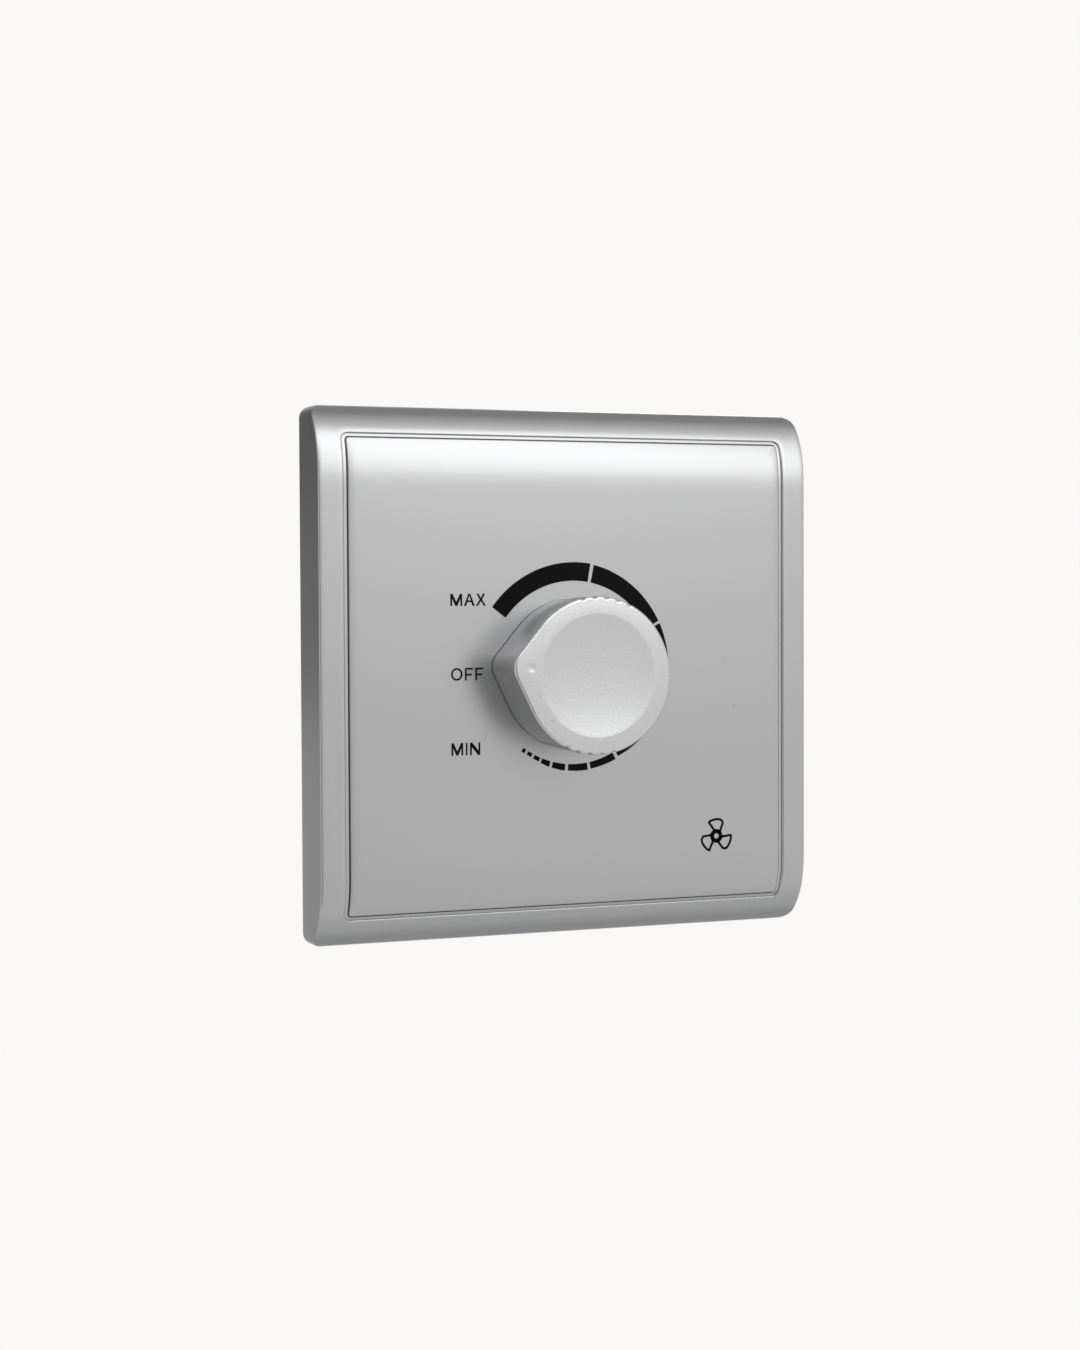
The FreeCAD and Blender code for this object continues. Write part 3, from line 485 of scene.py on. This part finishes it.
# Fan symbol
# A plain three-bladed fan in the lower right corner, printed with the rest. Each blade is an outline
# and the hub is a ring.
fan_centre = Vector((26.54 * mm, -plate_depth, -27.91 * mm))
fan_line = 0.41 * mm
hub_outer, hub_inner = 1.17 * mm, 0.43 * mm
blade_count, blade_cuts, hub_steps = 3, 6, 40
blade = ((-0.55, 0.92), (-1.05, 1.55), (-1.57, 2.25), (-1.42, 2.62), (-0.75, 2.9), (-0.06, 3.02),
         (0.6, 2.98), (1.1, 2.78), (1.42, 2.15), (1.21, 1.55), (0.95, 0.9), (0.76, 0.45))


def smooth_loop(points, cuts):
    """A closed loop through a few points, rounded by a cyclic spline."""
    loop = []
    for k in range(len(points)):
        a, b, c, d = (Vector(points[(k + n) % len(points)]) for n in (-1, 0, 1, 2))
        for step in range(cuts):
            t = step / cuts
            loop.append(0.5 * (2 * b + (c - a) * t + (2 * a - 5 * b + 4 * c - d) * t ** 2
                               + (3 * b - a - 3 * c + d) * t ** 3))
    return loop


def line_mesh(name, outside, inside):
    """A flat printed band between two loops."""
    rings = [[Vector((p.x, depth, p.y)) for p in loop] for loop, depth in
             ((inside, 0.0), (inside, -ink_depth), (outside, -ink_depth), (outside, 0.0))]
    mesh = bpy.data.meshes.new(name)
    points, faces = skin(rings, True)
    mesh.from_pydata(points, [], faces)
    return mesh


blade_loop = [point * mm for point in smooth_loop(blade, blade_cuts)]
inner_loop = []
for k, point in enumerate(blade_loop):
    run = (blade_loop[(k + 1) % len(blade_loop)] - blade_loop[k - 1]).normalized()
    inner_loop.append(point + Vector((run.y, -run.x)) * fan_line)
blade_mesh = line_mesh("blade", blade_loop, inner_loop)
fan_tree = bpy.data.node_groups.new("fan_blades", "GeometryNodeTree")
fan_tree.interface.new_socket(name="Blade", in_out="INPUT", socket_type="NodeSocketGeometry")
fan_tree.interface.new_socket(name="Count", in_out="INPUT", socket_type="NodeSocketInt")
fan_tree.interface.new_socket(name="Blades", in_out="OUTPUT", socket_type="NodeSocketGeometry")
given = fan_tree.nodes.new("NodeGroupInput").outputs
hub_points = add_node(fan_tree, "GeometryNodePoints", {"Count": given["Count"]})
index = fan_tree.nodes.new("GeometryNodeInputIndex").outputs[0]
turn = maths(fan_tree, "DIVIDE", maths(fan_tree, "MULTIPLY", index, math.tau), given["Count"])
spin = add_node(fan_tree, "FunctionNodeAxisAngleToRotation", {"Axis": (0, 1, 0), "Angle": turn})
spread = add_node(fan_tree, "GeometryNodeInstanceOnPoints", {"Points": hub_points.outputs[0],
                                                             "Instance": given["Blade"],
                                                             "Rotation": spin.outputs[0]})
single = add_node(fan_tree, "GeometryNodeRealizeInstances", {0: spread.outputs[0]})
inked = add_node(fan_tree, "GeometryNodeSetMaterial", {0: single.outputs[0], "Material": ink})
fan_tree.links.new(inked.outputs[0], fan_tree.nodes.new("NodeGroupOutput").inputs[0])
hub_angles = [math.tau * k / hub_steps for k in range(hub_steps)]
circle = [Vector((math.cos(angle), math.sin(angle))) for angle in hub_angles]
hub_mesh = line_mesh("hub", [p * hub_outer for p in circle], [p * hub_inner for p in circle])
blades_mesh = from_nodes("blades", fan_tree, {"Count": blade_count}, blade_mesh)
printed("fan_print", [blades_mesh, hub_mesh], fan_centre)

# Pointer knob
# A hollow moulding in a slightly brighter silver, pushed on to the shaft. Its face is dished, its edge
# drawn out to a pointer with a small dimple, and its matter sides fluted where the fingers hold it.
knob_low, knob_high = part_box("control_knob")
knob_front, boss_back = knob_low.y, knob_high.y
knob_radius, tip_radius, tip_reach = 12.8 * mm, 3.5 * mm, 11.15 * mm
knob_gap = 0.25 * mm
knob_back = -plate_depth - knob_gap
knob_lean = 0.42 * mm
knob_edge = 0.42 * mm
knob_wall = 1.8 * mm
dish_radius, dish_depth = 9.95 * mm, 0.5 * mm
dish_lip, lip_share = 0.004 * mm, 0.006
dimple_reach, dimple_radius, dimple_depth = 11.7 * mm, 0.85 * mm, 0.06 * mm
flute_count, flute_pitch = 5, math.radians(9.4)
flute_radius, flute_depth = 0.55 * mm, 0.25 * mm
boss_radius, bore_radius = 5.2 * mm, 3.03 * mm
pointer_angle = math.radians(173)
rim_steps, dish_steps = 22, 18
rim_crown, crown_curve = 0.08 * mm, 1.5
knob_grey, face_roughness, side_roughness = 0.57, 0.27, 0.42
side_slope = 0.3


def knob_outline(grow, fluted, lean_in=0.0):
    """Points round the pointer shape, drawn with its tip along +X, grown by an even margin."""
    lean = math.acos((knob_radius - tip_radius) / tip_reach)
    body, tip = knob_radius - lean_in + grow, tip_radius - lean_in + grow
    points = []
    tip_steps, flank_steps, body_steps = 48, 24, 520
    for step in range(tip_steps):
        angle = -lean + 2 * lean * step / tip_steps
        points.append(Vector((tip_reach + tip * math.cos(angle), tip * math.sin(angle))))
    start = Vector((tip_reach + tip * math.cos(lean), tip * math.sin(lean)))
    end = Vector((body * math.cos(lean), body * math.sin(lean)))
    points += [start.lerp(end, step / flank_steps) for step in range(flank_steps)]
    for step in range(body_steps):
        angle = lean + (math.tau - 2 * lean) * step / body_steps
        reach = body
        if fluted:
            middle = knob_radius - lean_in - flute_depth + flute_radius
            for side in (math.pi / 2, 3 * math.pi / 2):
                for number in range(flute_count):
                    away = angle - side - (number - (flute_count - 1) / 2) * flute_pitch
                    inside = (flute_radius - grow) ** 2 - (middle * math.sin(away)) ** 2
                    if inside > 0 and math.cos(away) > 0:
                        reach = min(reach, middle * math.cos(away) - math.sqrt(inside))
        points.append(Vector((reach * math.cos(angle), reach * math.sin(angle))))
    points += [Vector((end.x, -end.y)).lerp(Vector((start.x, -start.y)), step / flank_steps)
               for step in range(flank_steps)]
    return points


def turned(p, depth):
    """A flat point stood up at a depth and turned to where the pointer rests."""
    cos, sin = math.cos(pointer_angle), math.sin(pointer_angle)
    return Vector((p.x * cos - p.y * sin, depth, p.x * sin + p.y * cos))


def stand(points, depth):
    """Flat points stood up at one depth."""
    return [turned(p, depth) for p in points]


def circle_of(radius):
    """A circle whose points lie beside those of the outline."""
    return [p.normalized() * radius for p in knob_outline(0.0, False)]


def dish_drop(reach):
    """How far the dished face lies behind the rim, with a soft lip."""
    sphere = (dish_radius ** 2 + dish_depth ** 2) / (2 * dish_depth)
    drop = math.sqrt(sphere ** 2 - reach ** 2) - (sphere - dish_depth)
    return (drop + math.sqrt(drop ** 2 + dish_lip ** 2)) / 2


def rim_points(flat, outwards=0.0):
    """Points of the rim's crowned face, with the dimple pressed in near the tip."""
    raised = []
    for p in flat:
        away = (p - Vector((dimple_reach, 0))).length / dimple_radius
        drop = dimple_depth * (1 - away ** 2) ** 2 if away < 1 else 0.0
        fall = rim_crown * outwards ** crown_curve
        raised.append(turned(p, knob_front + drop + dish_drop(p.length) + fall))
    return raised


foot = stand(knob_outline(0.0, True, knob_lean), knob_back)
rings = [foot]
for step in range(edge_steps + 1):
    angle = math.pi / 2 * step / edge_steps
    rings.append(stand(knob_outline(-knob_edge * (1 - math.cos(angle)), True),
                       knob_front + rim_crown + knob_edge * (1 - math.sin(angle))))
rim_edge, dish_edge = knob_outline(-knob_edge - flute_depth, False), circle_of(dish_radius)
for step in range(rim_steps + 1):
    share = step / rim_steps
    rings.append(rim_points([a.lerp(b, share) for a, b in zip(rim_edge, dish_edge)], 1 - share))
for share in [lip_share] + [step / dish_steps for step in range(1, dish_steps)]:
    rings.append(rim_points(circle_of(dish_radius * (1 - share))))
front_points, front_faces = skin(rings, False)
front_points.append(Vector((0, knob_front + dish_depth, 0)))
last_ring, count = len(front_points) - 1 - len(rings[0]), len(rings[0])
front_faces += [(last_ring + k, last_ring + (k + 1) % count, len(front_points) - 1) for k in range(count)]
knob_roof = knob_front + dish_depth + knob_wall
rings = [foot, stand(knob_outline(-knob_wall, False), knob_back),
         stand(knob_outline(-knob_wall, False), knob_roof), stand(circle_of(boss_radius), knob_roof),
         stand(circle_of(boss_radius), boss_back), stand(circle_of(bore_radius), boss_back),
         stand(circle_of(bore_radius), knob_roof)]
back_points, back_faces = skin(rings, False)
first, roof_ring = len(front_points), len(back_points) - count
back_faces.append(tuple(roof_ring + k for k in range(count)))
knob = mesh_piece("pointer_knob", front_points + back_points,
                  front_faces + [tuple(first + k for k in face) for face in back_faces])
knob.data.materials.append(silver_paint("knob_silver", knob_grey, face_roughness))
knob.data.materials.append(silver_paint("knob_side_silver", knob_grey, side_roughness))
for face in knob.data.polygons:
    face.material_index = int(abs(face.normal.y) < side_slope)
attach(knob, "knob")
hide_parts("control_knob")

# Yoke and rear housing
# The yoke is a white moulding that the front clips to, and the grey housing snaps on behind it. Both
# have the fine spark-eroded texture of a mould, and slightly softened edges.
texture = bpy.data.node_groups.new("mould_texture", "ShaderNodeTree")
socket = texture.interface.new_socket(name="Grain size", in_out="INPUT", socket_type="NodeSocketFloat")
socket.default_value = 0.25 * mm
flow_scale = 70.0
for name in ("Grain", "Flow"):
    texture.interface.new_socket(name=name, in_out="OUTPUT", socket_type="NodeSocketFloat")
given = texture.nodes.new("NodeGroupInput").outputs
made = texture.nodes.new("NodeGroupOutput").inputs
place = texture.nodes.new("ShaderNodeTexCoord").outputs["Object"]
grain = add_node(texture, "ShaderNodeTexNoise", {"Vector": place, "Detail": 4.0, "Roughness": 0.7,
                                                "Scale": maths(texture, "DIVIDE", 1.0, given["Grain size"])})
flow = add_node(texture, "ShaderNodeTexNoise", {"Vector": place, "Detail": 2.0, "Scale": flow_scale,
                                               "Distortion": 1.2})
texture.links.new(grain.outputs[0], made["Grain"])
texture.links.new(flow.outputs[0], made["Flow"])


def moulded(name, dark, light, roughness, grain_size, metallic=0.0):
    """A material with a fine grain and a slow change of tone over the piece."""
    grain_share, flow_share, gloss_spread = 0.45, 0.55, 0.06
    bump_strength, bump_depth = 0.25, 0.03 * mm
    material = bpy.data.materials.new(name)
    material.use_nodes = True
    tree = material.node_tree
    gloss = tree.nodes["Principled BSDF"]
    effect = add_node(tree, "ShaderNodeGroup", {"Grain size": grain_size}, node_tree=texture)
    both = maths(tree, "ADD", maths(tree, "MULTIPLY", effect.outputs["Grain"], grain_share),
                 maths(tree, "MULTIPLY", effect.outputs["Flow"], flow_share))
    ramp = add_node(tree, "ShaderNodeValToRGB", {"Fac": both})
    for stop, position, colour in zip(ramp.color_ramp.elements, (noise_low, noise_high), (dark, light)):
        stop.position, stop.color = position, (*colour, 1)
    tree.links.new(ramp.outputs[0], gloss.inputs["Base Color"])
    uneven = ranged(tree, effect.outputs["Grain"], noise_low, noise_high,
                    roughness - gloss_spread, roughness + gloss_spread)
    tree.links.new(uneven, gloss.inputs["Roughness"])
    bump = add_node(tree, "ShaderNodeBump", {"Strength": bump_strength, "Distance": bump_depth,
                                             "Height": effect.outputs["Grain"]})
    tree.links.new(bump.outputs[0], gloss.inputs["Normal"])
    gloss.inputs["Metallic"].default_value = metallic
    return material


def dress(node, material, edge):
    """Gives a solid its finish and softens its edges."""
    weld_distance, soft_angle = 0.001 * mm, math.radians(40)
    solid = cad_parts[node]
    solid.data.materials.clear()
    solid.data.materials.append(material)
    weld = solid.modifiers.new("joined", "WELD")
    weld.merge_threshold = weld_distance
    soft = solid.modifiers.new("soft_edges", "BEVEL")
    soft.width = edge
    soft.segments = 2
    soft.limit_method = "ANGLE"
    soft.angle_limit = soft_angle
    soft.harden_normals = True


yoke_white = moulded("yoke_white", (0.70, 0.70, 0.68), (0.76, 0.76, 0.74), 0.5, 0.3 * mm)
housing_grey = moulded("housing_grey", (0.060, 0.062, 0.066), (0.080, 0.082, 0.086), 0.55, 0.3 * mm)
dress("mounting_yoke", yoke_white, 0.15 * mm)
dress("rear_housing", housing_grey, 0.25 * mm)

# Terminals
# A pale moulded block on the back of the board holds two brass cages, each with a slotted steel screw
# that closes it on the wire.
terminal_cream = moulded("terminal_cream", (0.55, 0.54, 0.50), (0.62, 0.61, 0.57), 0.45, 0.3 * mm)
clamp_brass = moulded("clamp_brass", (0.50, 0.33, 0.11), (0.60, 0.42, 0.17), 0.32, 0.2 * mm, 1.0)
screw_steel = moulded("screw_steel", (0.42, 0.42, 0.40), (0.52, 0.52, 0.50), 0.3, 0.2 * mm, 1.0)
dress("terminal_body", terminal_cream, 0.12 * mm)
dress("terminal_clamps", clamp_brass, 0.06 * mm)
dress("terminal_screws", screw_steel, 0.08 * mm)

# Switched control
# A steel-cased control with a plated bush and nut. Its shaft carries the knob in front and the wiper
# behind, and a moulded switch is fixed to its back.
plated = moulded("bush_plating", (0.55, 0.54, 0.50), (0.66, 0.65, 0.61), 0.28, 0.2 * mm, 1.0)
case_steel = moulded("case_steel", (0.50, 0.50, 0.48), (0.60, 0.60, 0.58), 0.35, 0.3 * mm, 1.0)
black_plastic = moulded("black_moulding", (0.012, 0.012, 0.013), (0.022, 0.022, 0.024), 0.5, 0.25 * mm)
spring_steel = moulded("spring_steel", (0.40, 0.40, 0.41), (0.50, 0.50, 0.51), 0.28, 0.15 * mm, 1.0)
tinned = moulded("tinned_lugs", (0.60, 0.60, 0.58), (0.70, 0.70, 0.68), 0.35, 0.15 * mm, 1.0)
bronze = moulded("contact_bronze", (0.45, 0.26, 0.12), (0.55, 0.34, 0.17), 0.3, 0.15 * mm, 1.0)
laminate = moulded("wafer_laminate", (0.10, 0.05, 0.02), (0.15, 0.08, 0.035), 0.55, 0.3 * mm)
small_edge = 0.05 * mm
for node, material in (("pot_bush", plated), ("bush_nut", plated), ("control_shaft", screw_steel),
                       ("pot_can", case_steel), ("wiper_carrier", black_plastic),
                       ("switch_housing", black_plastic), ("knob_spring", spring_steel),
                       ("pot_lugs", tinned), ("switch_lugs", tinned), ("wiper_contact", bronze),
                       ("track_wafer", laminate)):
    dress(node, material, small_edge)

# Circuit board and its parts
# A green laminate board clamped between the yoke's posts and the housing. It carries the choke, the
# capacitors, and the power switch clipped to a strip of aluminium.
board_green = moulded("board_resist", (0.012, 0.07, 0.022), (0.020, 0.10, 0.034), 0.35, 0.4 * mm)
ferrite = moulded("choke_ferrite", (0.015, 0.015, 0.015), (0.03, 0.03, 0.03), 0.6, 0.2 * mm)
copper = moulded("winding_copper", (0.45, 0.14, 0.05), (0.58, 0.20, 0.08), 0.3, 0.3 * mm, 1.0)
yellow_case = moulded("capacitor_yellow", (0.50, 0.30, 0.02), (0.58, 0.36, 0.04), 0.3, 0.3 * mm)
sink_metal = moulded("sink_aluminium", (0.62, 0.62, 0.63), (0.72, 0.72, 0.73), 0.4, 0.3 * mm, 1.0)
fuse_case = moulded("fuse_ceramic", (0.55, 0.55, 0.52), (0.62, 0.62, 0.59), 0.4, 0.3 * mm)
for node, material in (("circuit_board", board_green), ("choke_core", ferrite), ("choke_winding", copper),
                       ("suppression_capacitor", yellow_case), ("timing_capacitor", yellow_case),
                       ("heat_sink", sink_metal), ("triac", black_plastic), ("triac_clip", spring_steel),
                       ("thermal_fuse", fuse_case), ("resistors", black_plastic), ("diac", black_plastic)):
    dress(node, material, small_edge)

# Studio
# A pale floor well below and a pale surround. A broad soft lamp stands high in front with smaller ones
# round it, and grey cards stand for the darker parts of a room in the paint's reflections.
pale = (0.947, 0.939, 0.922, 1)
shade = (0.28, 0.28, 0.28, 1)
floor_level, floor_reach = -0.6, 6.0
floor_mesh = bpy.data.meshes.new("floor")
floor_mesh.from_pydata([(x * floor_reach, y * floor_reach, floor_level)
                        for x, y in ((-1, -1), (1, -1), (1, 1), (-1, 1))], [], [(0, 1, 2, 3)])
floor = bpy.data.objects.new("floor", floor_mesh)
bpy.context.scene.collection.objects.link(floor)
floor_paint = bpy.data.materials.new("floor_paint")
floor_paint.use_nodes = True


def seen_rays(tree):
    """One for rays from the camera, a reflection or a clear piece, which see the set as pale."""
    rays = tree.nodes.new("ShaderNodeLightPath").outputs
    looking = maths(tree, "MAXIMUM", rays["Is Camera Ray"], rays["Is Glossy Ray"])
    return maths(tree, "MAXIMUM", looking, rays["Is Transmission Ray"])


tree = floor_paint.node_tree
matt = tree.nodes["Principled BSDF"]
matt.inputs["Base Color"].default_value = pale
matt.inputs["Roughness"].default_value = 0.9
glow = add_node(tree, "ShaderNodeEmission", {"Color": pale, "Strength": 1.0})
either = add_node(tree, "ShaderNodeMixShader", {0: seen_rays(tree), 1: matt.outputs[0], 2: glow.outputs[0]})
tree.links.new(either.outputs[0], tree.nodes["Material Output"].inputs["Surface"])
floor_mesh.materials.append(floor_paint)

world = bpy.data.worlds.new("studio")
bpy.context.scene.world = world
world.use_nodes = True
tree = world.node_tree
ambient = tree.nodes["Background"]
ambient.inputs["Color"].default_value = shade
ambient.inputs["Strength"].default_value = 1.0
backdrop = add_node(tree, "ShaderNodeBackground", {"Color": pale, "Strength": 1.0})
either = add_node(tree, "ShaderNodeMixShader", {0: seen_rays(tree), 1: ambient.outputs[0],
                                                2: backdrop.outputs[0]})
tree.links.new(either.outputs[0], tree.nodes["World Output"].inputs["Surface"])


def lamp(name, place, width, height, watts):
    """A soft rectangular lamp turned to the plate."""
    light = bpy.data.lights.new(name, "AREA")
    light.shape = "RECTANGLE"
    light.size, light.size_y, light.energy = width, height, watts
    fitting = bpy.data.objects.new(name, light)
    fitting.location = place
    fitting.rotation_euler = (-Vector(place)).to_track_quat("-Z", "Y").to_euler()
    bpy.context.scene.collection.objects.link(fitting)


lamp("key_lamp", (0.344, -0.768, 0.542), 0.50, 0.893, 2.63)
lamp("low_lamp", (0.33, -0.80, 0.106), 0.40, 0.18, 0.05)
lamp("edge_lamp", (-0.229, -0.628, 0.602), 0.32, 0.32, 0.8)
lamp("floor_lamp", (0.30, -0.70, -0.37), 0.6, 0.4, 0.035)
lamp("rear_lamp", (0.35, 0.90, 0.50), 1.0, 0.6, 5.0)


def card(name, grey, low, high):
    """A grey card beside the set between two opposite corners, seen only in reflections."""
    (left, near, base), (right, far, top) = low, high
    mesh = bpy.data.meshes.new(name)
    mesh.from_pydata([(left, near, base), (right, near, base), (right, far, top), (left, far, top)], [],
                     [(0, 1, 2, 3)])
    paper = bpy.data.materials.new(name)
    paper.use_nodes = True
    tree = paper.node_tree
    tree.nodes.remove(tree.nodes["Principled BSDF"])
    dull = add_node(tree, "ShaderNodeEmission", {"Color": (grey, grey, grey, 1), "Strength": 1.0})
    tree.links.new(dull.outputs[0], tree.nodes["Material Output"].inputs["Surface"])
    mesh.materials.append(paper)
    sheet = bpy.data.objects.new(name, mesh)
    bpy.context.scene.collection.objects.link(sheet)
    sheet.visible_camera = False
    sheet.visible_diffuse = False
    sheet.visible_shadow = False


card("top_card", 0.35, (-0.6, -0.065, 0.35), (0.6, 0.6, 0.35))
card("corner_card", 0.55, (-0.07, 0.29, 0.07), (0.12, 0.29, 0.3))
card("low_card", 0.49, (-0.6, 0.0, -0.3), (0.6, 0.4, -0.3))
card("low_front_card", 0.79, (-0.6, -0.16, -0.3), (0.6, 0.0, -0.3))
card("front_card", 0.3, (-0.62, -0.68, -0.6), (-0.2, -0.68, 0.2))
card("front_low_card", 0.3, (-0.2, -0.68, -0.6), (0.03, -0.68, 0.09))
card("left_card", 0.145, (-0.7, 0.3, 0.036), (-0.02, 0.3, 0.5))
card("left_middle_card", 0.225, (-0.7, 0.3, -0.022), (-0.02, 0.3, 0.036))
card("left_low_card", 0.5, (-0.7, 0.3, -0.4), (-0.02, 0.3, -0.022))

# Camera
# It stands left of the plate and a little above its middle, as in the photograph. Its place, turn and
# focal length were fitted to the plate's corners and edges.
yaw, pitch, roll = math.radians(22.94), math.radians(2.0), math.radians(0.25)
camera_place = Vector((-164.07, -383.84, 14.08)) * mm
focal_length = 66.21
ahead = Vector((math.sin(yaw) * math.cos(pitch), math.cos(yaw) * math.cos(pitch), -math.sin(pitch)))
right = Vector((math.cos(yaw), -math.sin(yaw), 0))
down = ahead.cross(right)
side = right * math.cos(roll) + down * math.sin(roll)
up = right * math.sin(roll) - down * math.cos(roll)
lens = bpy.data.cameras.new("camera")
lens.lens = focal_length
camera = bpy.data.objects.new("camera", lens)
camera.matrix_world = Matrix((side, up, -ahead)).transposed().to_4x4()
camera.location = camera_place
lens.clip_start, lens.clip_end = 0.01, 30.0
bpy.context.scene.collection.objects.link(camera)
bpy.context.scene.camera = camera
bpy.context.scene.view_settings.view_transform = "Standard"
